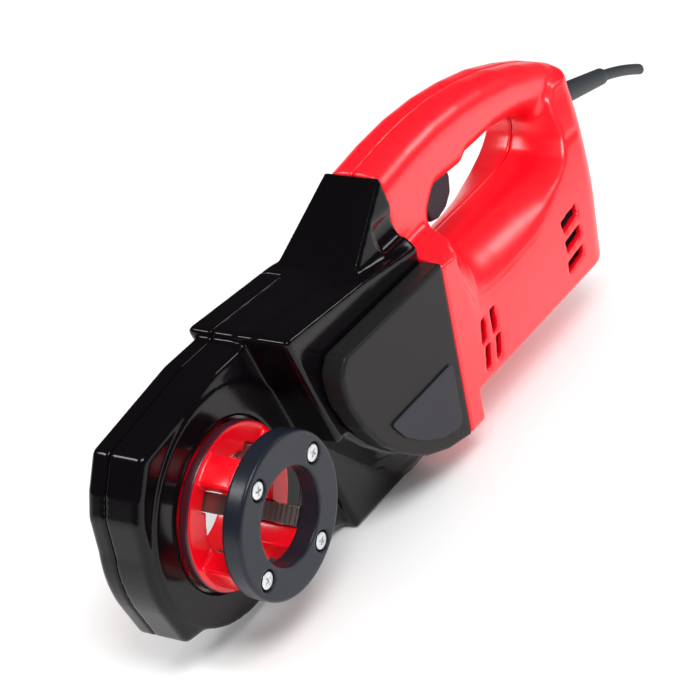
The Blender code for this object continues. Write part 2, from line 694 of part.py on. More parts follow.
def armature(looks, frame):
    centre = (MOTOR_Y, MOTOR_Z)
    put("motor_shaft", rod(MOTOR_SHAFT_R, "X", 157.0, 283.0, centre, 20), looks["steel"], frame)
    phase = 180 + 180 / MOTOR_PINION_TEETH
    pinion = bevel_gear(MOTOR_PINION_TEETH, CROWN_TEETH, CROWN_MODULE, CROWN_FACE,
                        (BEVEL_X, MOTOR_Y, MOTOR_Z), "X", 1, phase, 3.6)
    put("motor_pinion", pinion, looks["gear"], frame)
    core = gear_outline(12, 2 * ARMATURE_R / 12.9, centre, 0, 0.45, -0.55)
    bore = circle(MOTOR_SHAFT_R + GAP, centre, 20)
    put("armature_core", prism(core, "X", 192, 234, holes=[bore]), looks["lamination"], frame)
    put("commutator", tube(12.0, MOTOR_SHAFT_R + GAP, "X", 246, 259, centre, 24), looks["copper"], frame)
    vanes = []
    for i in range(9):
        vanes += [tuple(Vector(p) + Vector(centre)) for p in arc(9.0, 40 * i, 40 * i + 26, 3)]
        vanes += [tuple(Vector(p) + Vector(centre)) for p in arc(23.0, 40 * i + 31, 40 * i + 36, 2)]
    put("cooling_fan", prism(vanes, "X", 170, 179, holes=[bore]), looks["fan"], frame)


def motor_fixed(looks):
    centre = (MOTOR_Y, MOTOR_Z)
    put("field_core", tube(STATOR_R, ARMATURE_R + 1.6, "X", 191, 235, centre, 40), looks["lamination"])
    for name, low in (("motor_bearing_front", 159.0), ("motor_bearing_rear", 271.0)):
        put(name, tube(BEARING_R, MOTOR_SHAFT_R + 0.2, "X", low, low + 7, centre, 28), looks["steel"])
    bracket = tube(STATOR_R, BEARING_R + GAP, "X", 159.5, 165.5, centre, 40)
    put("motor_bracket", bracket, looks["cast"])
    rear = tube(STATOR_R, BEARING_R + GAP, "X", 272, 277, centre, 40)
    put("rear_bearing_plate", rear, looks["fan"])
    for name, side in (("left", -1), ("right", 1)):
        low, high = beside_motor(side, 12.5, 20.0)
        brush = block((249, low, MOTOR_Z - 2.5), (256, high, MOTOR_Z + 2.5))
        put(f"carbon_brush_{name}", brush, looks["carbon"])
        low, high = beside_motor(side, 15.0, 25.0)
        holder = block((246.5, low, MOTOR_Z - 5), (258.5, high, MOTOR_Z + 5))
        holder = put(f"brush_holder_{name}", holder, looks["brass"])
        low, high = beside_motor(side, 10.0, 22.0)
        cut(holder, block((248.7, low, MOTOR_Z - 2.8), (256.3, high, MOTOR_Z + 2.8)))


def beside_motor(side, near, far):
    """The lower and higher y of a span beside the motor's axis."""
    return sorted((MOTOR_Y + side * near, MOTOR_Y + side * far))


# ---------------------------------------------------------------- handle


def chamfered_band(outline, loop, half_width, edge):
    """The handle band with its long edges taken off; the hand opening is another shape."""
    flat = half_width - edge
    levels = ((-half_width, edge), (-flat, 0.0), (flat, 0.0), (half_width, edge))
    band = stacked([(y, inset(outline, depth)) for y, depth in levels], "Y")
    opening = stacked([(y * 1.01, inset(loop, -depth)) for y, depth in levels], "Y")
    return band, opening


def housing_half(name, side, look):
    """One half of the red housing, hollow, split at the middle plane."""
    body = put(name, stacked(wide_sections(), "Y"), look)
    join(body, stacked(plan_sections(), "Z"), "INTERSECT")
    band, opening = chamfered_band(handle_outline(), loop_outline(), GRIP_HALF_WIDTH, GRIP_EDGE)
    add(body, band)
    cut(body.modifiers[-1].object, opening)
    cut(body, block((130, -60, -90), (MATING_X + GAP, 60, 120)))
    hollow_out(body)
    cut_trigger_slot(body)
    cut_cord_hole(body)
    cut_vents(body, side)
    cut_flange_screws(body, side)
    low, high = sorted((side * GAP / 2, -side * 60))
    cut(body, block((130, low, -90), (340, high, 120)))
    return body


def hollow_out(body):
    """The room for the motor, the switch and the wires."""
    cut(body, stacked(plan_sections(WALL), "Z"))
    join(body.modifiers[-1].object, stacked(wide_sections(WALL), "Y"), "INTERSECT")
    cut(body, block((138, WALL - BODY_HALF_WIDTH, -44), (150, HOUSING_FAR_Y - WALL, 42)))
    band = inset(handle_outline(), GRIP_WALL)
    loop = inset(loop_outline(), -GRIP_WALL)
    cut(body, prism(band, "Y", -GRIP_ROOM, GRIP_ROOM, holes=[loop]))


def cut_trigger_slot(body):
    half = TRIGGER_HALF_WIDTH + 2 * GAP
    cut(body, block((182.5, -half, 46), (214.5, half, 68.5)))


def cut_cord_hole(body):
    hole = rod(6.6, "X", -20, 30, count=24)
    move_to_cord(hole)
    cut(body, hole)


def cut_vents(body, side):
    face = BODY_HALF_WIDTH if side < 0 else HOUSING_FAR_Y
    low, high = sorted((side * (face - 4), side * (face + 3)))
    for x in (165, 176):
        for z in (-6, -19):
            spots = [(x, z - 4.5), (x + 6, z - 4.5), (x + 8, z + 4.5), (x + 2, z + 4.5)]
            cut(body, prism(spots, "Y", low, high))
    for row in range(3):
        x, z = 254 - 1.2 * row, 2.5 - 10.5 * row
        spots = [(x, z - 3.2), (x + 17, z - 0.4), (x + 17.3, z + 5.2), (x + 0.3, z + 3.3)]
        cut(body, prism(spots, "Y", low, high))
    if side > 0:
        cut(body, block((218, GRIP_ROOM - 1, 71.5), (235, GRIP_HALF_WIDTH + 4, 78.5)))


def trigger(look, frame):
    spots = [(184, 64), (206, 64), (210.5, 52), (209, 43.5), (203, 38)]
    spots += [(195, 36), (188.5, 37.5), (184.5, 46)]
    half = TRIGGER_HALF_WIDTH
    put("trigger", prism(spots, "Y", -half, half), look, frame)


def switch_parts(looks, slide_frame):
    put("switch_module", block((187, -9.5, 69), (216, 9.5, 86)), looks["switch"])
    put("direction_slider", block((222.5, 8.5, 72.5), (230.5, 19.5, 77.5)), looks["switch"], slide_frame)


def move_to_cord(shape):
    """Tilt a shape that was made along X, and carry it to where the cord leaves."""
    tilt = Matrix.Rotation(radians(CORD_DROP_DEG), 4, "Y")
    bmesh.ops.transform(shape, matrix=Matrix.Translation(CORD_EXIT) @ tilt, verts=shape.verts)


def cord_parts(looks):
    profile = [(CORD_R + GAP, -4), (9.0, -4), (9.0, -1.5), (6.2, -1.5), (6.2, 12), (7.6, 14), (7.6, 17)]
    profile += [(6.0, 19), (4.3, 78), (CORD_R + GAP, 78)]
    boot = turned(profile, "X", (0, 0), 24)
    move_to_cord(boot)
    put("cord_boot", boot, looks["rubber"])
    cord = rod(CORD_R, "X", -14, 122, count=16)
    move_to_cord(cord)
    put("power_cord", cord, looks["rubber"])
    clamp = tube(7.5, CORD_R + GAP, "X", -11, -6, count=20)
    move_to_cord(clamp)
    put("cord_clamp", clamp, looks["switch"])


# ---------------------------------------------------------------- fasteners


def screw(name, axis, head_at, inward, length, spot, look):
    """A pan-head screw; inward is the sign of the way it goes in."""
    sizes = [(0, -2.2), (3.4, -2.2), (4.0, -1.4), (4.0, 0), (2.0, 0), (2.0, length), (0, length)]
    profile = [(radius, head_at + inward * depth) for radius, depth in sizes]
    put(name, turned(profile, axis, spot, 10), look)


def fasteners(look):
    for number, spot in enumerate(CASE_SCREWS, 1):
        head = CASE_FAR_Y if spot[0] < 30 else BLOCK_FAR_Y
        screw(f"case_screw_{number}", "Y", head + GAP, -1, 15, spot, look)
    for number, spot in enumerate(FLANGE_SCREWS, 1):
        screw(f"flange_screw_{number}", "X", 156.0 + GAP, -1, 26, spot, look)


# ---------------------------------------------------------------- build


def build():
    clear_scene()
    black = material("gloss_black", (0.012, 0.011, 0.013), 0.16)
    drum_black = material("satin_black", (0.045, 0.045, 0.05), 0.35)
    red = material("gloss_red", (0.72, 0.01, 0.025), 0.3)
    slate = material("slate", (0.035, 0.045, 0.06), 0.4)
    zinc = material("zinc", (0.72, 0.73, 0.74), 0.25, 1.0)
    steel = material("tool_steel", (0.16, 0.155, 0.16), 0.35, 0.9)
    looks = {
        "steel": material("shaft_steel", (0.5, 0.5, 0.51), 0.3, 1.0),
        "gear": material("gear_steel", (0.36, 0.35, 0.35), 0.35, 1.0),
        "bronze": material("bush_bronze", (0.55, 0.33, 0.12), 0.4, 1.0),
        "lamination": material("laminated_steel", (0.25, 0.25, 0.26), 0.5, 0.8),
        "copper": material("copper", (0.72, 0.3, 0.15), 0.35, 1.0),
        "brass": material("brass", (0.7, 0.5, 0.2), 0.35, 1.0),
        "carbon": material("carbon", (0.03, 0.03, 0.03), 0.7),
        "fan": material("fan_plastic", (0.05, 0.05, 0.055), 0.5),
        "cast": material("cast_aluminium", (0.55, 0.55, 0.56), 0.45, 0.9),
        "switch": material("switch_plastic", (0.02, 0.022, 0.026), 0.5),
        "rubber": material("cord_rubber", (0.02, 0.024, 0.03), 0.6),
    }
    ring_frame = frame_at("drive_ring_axis", (0, 0, 0))
    idler_frame = frame_at("idler_axis", (IDLER_X, 0, IDLER_Z))
    drum_frame = frame_at("drum_axis", (DRUM_X, 0, DRUM_SHAFT_Z))
    bevel_frame = frame_at("bevel_axis", (BEVEL_X, 0, MOTOR_Z))
    motor_frame = frame_at("motor_axis", (BEVEL_X, MOTOR_Y, MOTOR_Z))
    trigger_frame = frame_at("trigger_axis", TRIGGER_PIVOT)
    slider_frame = frame_at("direction_axis", (226.5, 0, 75))

    gear_case(black)
    far_cover(black)
    drum_cover(drum_black)
    badge_plate(slate)

    drive_ring(looks["gear"], ring_frame)
    ring_bushes(looks["bronze"])
    retaining_ring(looks["steel"], ring_frame)
    die_head(red, ring_frame)
    dies(steel, ring_frame)
    guide_ring(slate, ring_frame)
    guide_screws(zinc, ring_frame)

    idler_phase = idler(looks["gear"], looks["steel"], looks["bronze"], idler_frame)
    drum_shaft(looks["gear"], looks["steel"], looks["bronze"], drum_frame, idler_phase)
    bevel_shaft(looks["gear"], looks["bronze"], bevel_frame)
    armature(looks, motor_frame)
    motor_fixed(looks)

    housing_half("housing_near_half", -1, red)
    housing_half("housing_far_half", 1, red)
    trigger(slate, trigger_frame)
    switch_parts(looks, slider_frame)
    cord_parts(looks)
    fasteners(zinc)


build()
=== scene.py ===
import json
from math import cos, pi, radians, sin, tan

import bpy
import numpy as np
from mathutils import Euler, Matrix, Vector


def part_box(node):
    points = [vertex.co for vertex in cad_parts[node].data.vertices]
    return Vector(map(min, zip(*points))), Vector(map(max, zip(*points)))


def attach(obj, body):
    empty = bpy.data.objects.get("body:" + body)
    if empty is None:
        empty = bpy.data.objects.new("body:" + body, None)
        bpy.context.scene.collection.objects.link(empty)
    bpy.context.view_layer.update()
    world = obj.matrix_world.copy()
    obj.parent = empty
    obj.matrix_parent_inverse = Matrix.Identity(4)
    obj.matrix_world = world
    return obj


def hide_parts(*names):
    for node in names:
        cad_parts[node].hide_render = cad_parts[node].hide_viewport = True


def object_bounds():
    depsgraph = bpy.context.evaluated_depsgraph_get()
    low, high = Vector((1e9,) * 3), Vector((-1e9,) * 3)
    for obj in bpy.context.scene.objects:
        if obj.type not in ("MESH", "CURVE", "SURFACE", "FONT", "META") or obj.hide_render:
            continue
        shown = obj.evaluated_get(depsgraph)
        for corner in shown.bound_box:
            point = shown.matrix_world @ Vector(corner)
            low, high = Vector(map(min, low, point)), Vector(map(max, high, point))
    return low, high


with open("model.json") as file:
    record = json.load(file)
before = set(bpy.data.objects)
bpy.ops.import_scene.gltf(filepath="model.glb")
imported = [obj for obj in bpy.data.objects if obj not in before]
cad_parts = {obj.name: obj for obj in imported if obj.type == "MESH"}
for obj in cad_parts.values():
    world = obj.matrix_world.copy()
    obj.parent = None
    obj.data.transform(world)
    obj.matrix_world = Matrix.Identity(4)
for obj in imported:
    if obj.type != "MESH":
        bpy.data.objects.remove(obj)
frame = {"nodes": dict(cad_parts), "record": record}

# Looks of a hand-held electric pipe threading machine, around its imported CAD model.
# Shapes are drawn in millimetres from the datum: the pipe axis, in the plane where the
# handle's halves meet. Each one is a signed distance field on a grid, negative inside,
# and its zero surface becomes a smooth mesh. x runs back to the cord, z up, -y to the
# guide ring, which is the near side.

CAD_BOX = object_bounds()
MM = 0.001
RING_LOW, RING_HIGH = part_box("guide_ring")
RING_BACK_Y = -28.0
DATUM = Vector((
    (RING_LOW.x + RING_HIGH.x) / 2,
    RING_HIGH.y - RING_BACK_Y * MM,
    (RING_LOW.z + RING_HIGH.z) / 2,
))
FLOOR_Z = CAD_BOX[0][2]


def in_datum(spot):
    """A point of the frame, in millimetres from the datum."""
    return (Vector(spot) - DATUM) / MM


# ---------------------------------------------------------------- finishes

BROAD_SCALE, BROAD_DETAIL = 18.0, 3.0
GRAIN_DETAIL = 4.0
BUMP_DEPTH = 0.0002
COAT_ROUGHNESS = 0.06

# Each finish: two colours, roughness and its spread, scale of the grain, strength of the
# bump, and what else it needs. The names are the record's material slots.
FINISHES = {
    "gloss_black": ((0.002, 0.0015, 0.002), (0.004, 0.003, 0.004), 0.14, 0.02, 900, 0.03,
                    {"shine": 0.22}),
    "satin_black": ((0.011, 0.0105, 0.011), (0.015, 0.0145, 0.015), 0.36, 0.05, 1500, 0.2,
                    {"shine": 0.12}),
    "gloss_red": ((0.82, 0.0, 0.008), (0.88, 0.0, 0.014), 0.3, 0.03, 1200, 0.05,
                  {"shine": 0.85}),
    "red_paint": ((0.8, 0.0, 0.008), (0.88, 0.002, 0.012), 0.25, 0.05, 900, 0.15,
                  {"coat": 0.15, "shine": 0.4}),
    "slate": ((0.008, 0.010, 0.016), (0.012, 0.015, 0.023), 0.3, 0.05, 1400, 0.2,
              {"shine": 0.28}),
    "slate_plastic": ((0.014, 0.017, 0.024), (0.019, 0.022, 0.03), 0.4, 0.05, 1600, 0.2,
                      {"shine": 0.2}),
    "zinc": ((0.78, 0.8, 0.8), (0.66, 0.68, 0.69), 0.4, 0.07, 500, 0.3,
             {"metallic": 1.0}),
    "tool_steel": ((0.22, 0.21, 0.2), (0.3, 0.29, 0.27), 0.33, 0.08, 900, 0.2,
                   {"metallic": 0.9}),
    "shaft_steel": ((0.5, 0.5, 0.51), (0.42, 0.42, 0.44), 0.28, 0.06, 900, 0.1,
                    {"metallic": 1.0}),
    "gear_steel": ((0.34, 0.33, 0.33), (0.22, 0.2, 0.18), 0.36, 0.08, 800, 0.2,
                   {"metallic": 1.0}),
    "bush_bronze": ((0.55, 0.33, 0.12), (0.42, 0.24, 0.09), 0.4, 0.06, 1500, 0.3,
                    {"metallic": 1.0}),
    "laminated_steel": ((0.25, 0.25, 0.26), (0.18, 0.18, 0.19), 0.5, 0.06, 900, 0.3,
                        {"metallic": 0.8}),
    "copper": ((0.72, 0.3, 0.15), (0.6, 0.24, 0.12), 0.33, 0.06, 900, 0.1,
               {"metallic": 1.0}),
    "brass": ((0.7, 0.5, 0.2), (0.6, 0.42, 0.16), 0.33, 0.05, 900, 0.1,
              {"metallic": 1.0}),
    "carbon": ((0.03, 0.03, 0.03), (0.05, 0.05, 0.05), 0.7, 0.08, 1500, 0.4, {}),
    "fan_plastic": ((0.05, 0.05, 0.055), (0.06, 0.06, 0.065), 0.5, 0.05, 1200, 0.2, {}),
    "cast_aluminium": ((0.55, 0.55, 0.56), (0.45, 0.45, 0.47), 0.45, 0.08, 800, 0.4,
                       {"metallic": 0.9}),
    "switch_plastic": ((0.02, 0.022, 0.026), (0.028, 0.03, 0.034), 0.5, 0.05, 1500, 0.2, {}),
    "cord_rubber": ((0.018, 0.022, 0.028), (0.026, 0.031, 0.038), 0.55, 0.06, 1500, 0.4, {}),
}
FLOOR_FINISH = ((0.93, 0.93, 0.93), (0.91, 0.91, 0.91), 0.7, 0.03, 300, 0.02)

# Painted shade: the die head's rim is painted a dark mauve, standing in for the shade and
# reflection of the casing's collar around the flange
RIM_SHADE_R, RIM_SHADE_FADE, RIM_SHADE_COLOUR = 36.9, 0.5, (0.06, 0.008, 0.016)


def speckled(name, colour, other, roughness, spread, grain, bump,
             metallic=0.0, coat=0.0, shine=0.5):
    """A finish whose colour, roughness and surface vary with fine and broad noise."""
    look = bpy.data.materials.new(name)
    look.use_nodes = True
    nodes, links = look.node_tree.nodes, look.node_tree.links
    shader = nodes["Principled BSDF"]
    place = nodes.new("ShaderNodeTexCoord")
    broad, fine = nodes.new("ShaderNodeTexNoise"), nodes.new("ShaderNodeTexNoise")
    broad.inputs["Scale"].default_value = BROAD_SCALE
    broad.inputs["Detail"].default_value = BROAD_DETAIL
    fine.inputs["Scale"].default_value = grain
    fine.inputs["Detail"].default_value = GRAIN_DETAIL
    mix = nodes.new("ShaderNodeMix")
    mix.data_type = "RGBA"
    mix.inputs["A"].default_value, mix.inputs["B"].default_value = (*colour, 1), (*other, 1)
    spread_map = nodes.new("ShaderNodeMapRange")
    spread_map.inputs["To Min"].default_value = roughness - spread
    spread_map.inputs["To Max"].default_value = roughness + spread
    raised = nodes.new("ShaderNodeBump")
    raised.inputs["Strength"].default_value = bump
    raised.inputs["Distance"].default_value = BUMP_DEPTH
    for noise in (broad, fine):
        links.new(place.outputs["Object"], noise.inputs["Vector"])
    links.new(broad.outputs["Fac"], mix.inputs["Factor"])
    links.new(mix.outputs["Result"], shader.inputs["Base Color"])
    links.new(fine.outputs["Fac"], spread_map.inputs["Value"])
    links.new(spread_map.outputs["Result"], shader.inputs["Roughness"])
    links.new(fine.outputs["Fac"], raised.inputs["Height"])
    links.new(raised.outputs["Normal"], shader.inputs["Normal"])
    shader.inputs["Metallic"].default_value = metallic
    shader.inputs["Specular IOR Level"].default_value = shine
    shader.inputs["Coat Weight"].default_value = coat
    shader.inputs["Coat Roughness"].default_value = COAT_ROUGHNESS
    return look


def paint_rim_shade(look, radius, fade, colour):
    """Paint shade onto a finish: darken its colour beyond a distance from the pipe's axis."""
    nodes, links = look.node_tree.nodes, look.node_tree.links
    shader = nodes["Principled BSDF"]
    plain = shader.inputs["Base Color"].links[0].from_socket
    place, apart = nodes.new("ShaderNodeNewGeometry"), nodes.new("ShaderNodeVectorMath")
    flat, length = nodes.new("ShaderNodeVectorMath"), nodes.new("ShaderNodeVectorMath")
    edge, mix = nodes.new("ShaderNodeMapRange"), nodes.new("ShaderNodeMix")
    apart.operation, flat.operation, length.operation = "SUBTRACT", "MULTIPLY", "LENGTH"
    apart.inputs[1].default_value, flat.inputs[1].default_value = DATUM, (1, 0, 1)
    edge.inputs["From Min"].default_value = radius * MM
    edge.inputs["From Max"].default_value = (radius + fade) * MM
    mix.data_type = "RGBA"
    mix.inputs["B"].default_value = (*colour, 1)
    links.new(place.outputs["Position"], apart.inputs[0])
    links.new(apart.outputs["Vector"], flat.inputs[0])
    links.new(flat.outputs["Vector"], length.inputs[0])
    links.new(length.outputs["Value"], edge.inputs["Value"])
    links.new(edge.outputs["Result"], mix.inputs["Factor"])
    links.new(plain, mix.inputs["A"])
    links.new(mix.outputs["Result"], shader.inputs["Base Color"])


LOOKS = {name: speckled(name, *values, **more) for name, (*values, more) in FINISHES.items()}
# Painted shade and reflection: the die head's red paint turns dark mauve at its outer rim
paint_rim_shade(LOOKS["red_paint"], RIM_SHADE_R, RIM_SHADE_FADE, RIM_SHADE_COLOUR)


def dress_nodes():
    """Every CAD node gets the procedural finish of its material slot in the record."""
    for subpart in frame["record"]["subparts"]:
        node = frame["nodes"][subpart["node"]]
        node.data.materials.clear()
        node.data.materials.append(LOOKS[subpart["material_slot"]])


# ---------------------------------------------------------------- distance fields


class Grid:
    """Points at even steps through a box, whose coordinates spread along three axes."""

    def __init__(self, low, high, step):
        margin = 2.5 * step
        self.step = step
        self.start = np.array(low) - margin
        counts = [int(np.ceil((b - a + 2 * margin) / step)) for a, b in zip(low, high)]
        x, y, z = (start + step * np.arange(count) for start, count in zip(self.start, counts))
        self.x, self.y, self.z = x[:, None, None], y[None, :, None], z[None, None, :]

    def side(self, outline):
        """Distance from an outline of (x, z) points, the same at every y."""
        return outline_distance(self.x, self.z, outline)

    def front(self, outline):
        """Distance from an outline of (y, z) points, the same at every x."""
        return outline_distance(self.y, self.z, outline)


def outline_distance(a, b, outline):
    """Distance from a closed outline, negative inside it."""
    nearest, inside = np.inf, False
    for (a0, b0), (a1, b1) in zip(outline, outline[1:] + outline[:1]):
        run_a, run_b = a1 - a0, b1 - b0
        share = np.clip(((a - a0) * run_a + (b - b0) * run_b) / (run_a**2 + run_b**2), 0, 1)
        apart = (a - a0 - run_a * share)**2 + (b - b0 - run_b * share)**2
        nearest = np.minimum(nearest, apart)
        if b0 != b1:
            inside = inside ^ (((b0 > b) != (b1 > b)) & (a < a0 + run_a * (b - b0) / run_b))
    return np.where(inside, -1, 1) * np.sqrt(nearest)


def rounded(points, radius, count=5):
    """An outline with its corners rounded. A point may bring its own radius as a third number."""
    smooth = []
    for i, here in enumerate(points):
        corner, own = Vector(here[:2]), here[2] if len(here) > 2 else radius
        back = Vector(points[i - 1][:2]) - corner
        ahead = Vector(points[(i + 1) % len(points)][:2]) - corner
        turn = pi - back.angle(ahead)
        if own == 0 or turn < 0.02:
            smooth.append(tuple(corner))
            continue
        reach = min(own * tan(turn / 2), 0.48 * back.length, 0.48 * ahead.length)
        start, end = corner + back.normalized() * reach, corner + ahead.normalized() * reach
        for step in range(count):
            t = step / (count - 1)
            smooth.append(tuple(start * (1 - t)**2 + corner * 2 * t * (1 - t) + end * t * t))
    return smooth


def meet(a, b, radius=0.0):
    """Where both shapes are, with the edge between them rounded."""
    if radius == 0:
        return np.maximum(a, b)
    corner = np.sqrt(np.maximum(a + radius, 0)**2 + np.maximum(b + radius, 0)**2)
    return np.minimum(np.maximum(a, b), -radius) + corner


def merge(a, b, radius=0.0):
    """Where either shape is, with the corner between them filleted."""
    return -meet(-a, -b, radius)


def without(a, b, radius=0.0):
    """The first shape with the second one cut away, and the cut's edge rounded."""
    return meet(a, -b, radius)


def slab(coordinate, low, high):
    """The space between two planes across an axis."""
    return np.maximum(low - coordinate, coordinate - high)


def box_field(grid, low, high, radius=0.0):
    sides = [slab(c, a, b) for c, a, b in zip((grid.x, grid.y, grid.z), low, high)]
    return meet(meet(sides[0], sides[1], radius), sides[2], radius)


def rod_field(a, b, centre, radius):
    """An endless rod across the plane of a and b."""
    return np.sqrt((a - centre[0])**2 + (b - centre[1])**2) - radius


def ramp(value, start, end):
    """0 before start, 1 after end and a smooth rise between them."""
    t = np.clip((value - start) / (end - start), 0, 1)
    return t * t * (3 - 2 * t)


# ---------------------------------------------------------------- fields into meshes

# How a corner is drawn to the surface, in grid steps: rounds, the furthest move in one
# round and in all of them, and the least slope that a move is worked out from
NEWTON_ROUNDS, ROUND_REACH, WHOLE_REACH, LEAST_SLOPE = 3, 0.3, 0.6, 0.1


def sample(field, spots):
    """The field at points given in grid steps, read between the grid's own points."""
    base = np.clip(np.floor(spots).astype(int), 0, np.array(field.shape) - 2)
    part = spots - base
    total = 0.0
    for corner in np.ndindex(2, 2, 2):
        weight = np.prod(np.where(corner, part, 1 - part), axis=1)
        total = total + weight * field[tuple((base + corner).T)]
    return total


def slope(field, spots):
    steps = np.eye(3) * 0.5
    return np.stack([sample(field, spots + s) - sample(field, spots - s) for s in steps], axis=1)


def zero_surface(field):
    """The zero surface's quads, as the four cells around each crossed edge, with the place
    where that edge is crossed and whether the quad had to be turned over."""
    quads, spots, flips = [], [], []
    for axis in range(3):
        head, tail = [slice(None)] * 3, [slice(None)] * 3
        head[axis], tail[axis] = slice(0, -1), slice(1, None)
        before, after = field[tuple(head)], field[tuple(tail)]
        edges = np.argwhere((before < 0) != (after < 0))
        first, last = before[tuple(edges.T)], after[tuple(edges.T)]
        place = edges.astype(float)
        place[:, axis] += first / (first - last)
        cells = []
        for back_b, back_c in ((0, 0), (1, 0), (1, 1), (0, 1)):
            cell = edges.copy()
            cell[:, (axis + 1) % 3] -= back_b
            cell[:, (axis + 2) % 3] -= back_c
            cells.append(np.ravel_multi_index(cell.T, field.shape))
        quads.append(np.stack(cells, axis=1))
        spots.append(np.repeat(place, 4, axis=0))
        flips.append(first >= 0)
    quads = np.concatenate(quads)
    flips = np.concatenate(flips)
    quads[flips] = quads[flips][:, ::-1]
    return quads, np.concatenate(spots), flips


def build_mesh(name, grid, field):
    """A smooth mesh with one corner in each cell that the zero surface crosses."""
    quads, spots, flips = zero_surface(field)
    owners = quads.copy()
    owners[flips] = owners[flips][:, ::-1]
    keys, index = np.unique(owners.reshape(-1), return_inverse=True)
    number = np.bincount(index)
    corners = np.stack([np.bincount(index, spots[:, i]) / number for i in range(3)], axis=1)
    first = corners.copy()
    for _ in range(NEWTON_ROUNDS):
        steep = slope(field, corners)
        share = sample(field, corners) / np.maximum((steep**2).sum(1), LEAST_SLOPE)
        move = np.clip(-steep * share[:, None], -ROUND_REACH, ROUND_REACH)
        corners = first + np.clip(corners + move - first, -WHOLE_REACH, WHOLE_REACH)
    faces = np.searchsorted(keys, quads)
    places = (corners * grid.step + grid.start) * MM + np.array(DATUM)
    mesh = bpy.data.meshes.new(name)
    mesh.from_pydata(places, [], faces)
    mesh.shade_smooth()
    return mesh


def show(name, mesh, finish, body, node):
    """A piece of the object: its finish, the body it rides on and the node it stands for."""
    piece = bpy.data.objects.new(name, mesh)
    bpy.context.scene.collection.objects.link(piece)
    mesh.materials.append(LOOKS[finish])
    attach(piece, body)
    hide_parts(node)


def show_shape(name, grid, field, finish, body, node):
    show(name, build_mesh(name, grid, field), finish, body, node)


# ---------------------------------------------------------------- the black casing

# Outlines seen from the side. The third number of a point is its corner's radius.
MATING_X = 142.4
BASE_Z = -64.0
NOSE_R = 58.6
NOSE = [(11, 60, 6), (-45, 52, 5), (-54, 37, 4), (-58, 26, 6)]
NOSE += [(NOSE_R * cos(radians(a)), NOSE_R * sin(radians(a)), 0) for a in range(172, 206, 4)]
NOSE += [(-46, -42, 5), (-3, -49, 6), (68, -60, 4), (82, BASE_Z, 2), (132, BASE_Z, 2)]
NOSE += [(150, -50, 0), (150, 40, 0), (100, 54, 2), (34, 60, 3)]
BLOCK = [(34, 64, 3), (78, BASE_Z, 2.5), (136, BASE_Z, 3), (160, -48, 0), (160, 52, 0)]
BLOCK += [(98, 59.5, 2)]
TIER_RIM = [(34, 64, 3), (56.5, -1.5, 4), (62, 1, 4), (76, -14.5, 6), (94, -29.5, 10)]
TIER_RIM += [(112, -39.5, 10), (124, -43.5, 8), (134, -45.5, 4), (160, -47, 0), (160, 50, 0)]
TIER_RIM += [(97, 59, 2)]
TIER_ROOT = [(34, 64, 3), (56.5, -1.5, 4), (62, -8, 5), (79, -25, 6), (97, -44, 10)]
TIER_ROOT += [(118, -60, 8), (126, BASE_Z + 1, 4), (134, BASE_Z + 1, 3), (160, -47, 0)]
TIER_ROOT += [(160, 50, 0), (97, 59, 2)]
DRUM = [(58, 45, 5), (52, 38, 5), (52, 30, 3), (53.5, 22, 6), (61, 6, 8), (73, -11, 8)]
DRUM += [(83, -20.5, 8), (94, -29, 10), (105, -36, 10), (122, -43, 10)]
DRUM += [(MATING_X, -47.5, 0.8), (MATING_X, 45, 0.8)]
NECK_SIDE = [(98, 52, 0), (98.5, 58, 3), (143, 86.8, 2), (170, 86.8, 0), (170, 40, 0)]
NECK_SIDE += [(98, 40, 0)]

# Outlines seen from the front
NECK_FRONT = [(-23, 40), (23, 40), (22, 56), (14.5, 87), (-14.5, 87), (-22, 56)]
SHOULDER = [(-38.5, 30, 0), (24, 30, 0), (24, 50, 3), (21, 58.5, 3), (-21, 58.5, 4)]
SHOULDER += [(-38.5, 43, 3)]

# How far each part of the casing reaches, and the arch cut under the neck's near side
NOSE_Y, BLOCK_Y, TIER_Y = (-6, 22), (-11.5, 25), (-28, 0)
TIER_SLOPE = 16.5
SHOULDER_X, SHOULDER_Y = (101, 170), (-27.0, 24.0)
ARCH_CENTRE, ARCH_R, ARCH_BASE_Z = (-29.5, 66.0), 12.5, 57.0
ARCH_START_X, ARCH_FLARE = 126, 0.9
BOSS_R, BOSS_Y = 54, (-7.0, 0)
OPENING_R = 38.8
CASE_WALL = 3.0

# The far cover lies beyond the parting plane, apart from what the neck stands on
PARTING_Y, COVER_END_X, COVER_TOP_Z = 12.0, 93, 57.5
SEAM = 0.15

DRUM_Y, DRUM_HOLLOW_Y, DRUM_WALL = (-40, -28.15), (-37.4, -20), 2.6


def casing_solid(grid):
    """The whole casing before it is hollowed and divided."""
    x, y, z = grid.x, grid.y, grid.z
    nose = meet(grid.side(rounded(NOSE, 3)), slab(y, *NOSE_Y), 3.5)
    block = meet(grid.side(rounded(BLOCK, 3)), slab(y, *BLOCK_Y), 2.5)
    share = np.clip((y - TIER_Y[0]) / TIER_SLOPE, 0, 1)
    rim, root = grid.side(rounded(TIER_RIM, 3)), grid.side(rounded(TIER_ROOT, 3))
    tier = meet(rim * (1 - share) + root * share, slab(y, *TIER_Y), 2.0)
    neck = meet(grid.side(rounded(NECK_SIDE, 3)), grid.front(rounded(NECK_FRONT, 0)), 1.6)
    shoulder = meet(grid.front(rounded(SHOULDER, 3)), slab(x, *SHOULDER_X), 1.5)
    shoulder = meet(shoulder, slab(y, *SHOULDER_Y), 1.5)
    solid = merge(merge(nose, block, 2.0), tier, 1.5)
    solid = merge(merge(solid, shoulder, 1.5), neck, 2.0)
    arch = rod_field(y, z, ARCH_CENTRE, ARCH_R) + np.maximum(0, ARCH_START_X - x) * ARCH_FLARE
    return without(solid, np.maximum(arch, ARCH_BASE_Z - z), 1.0)


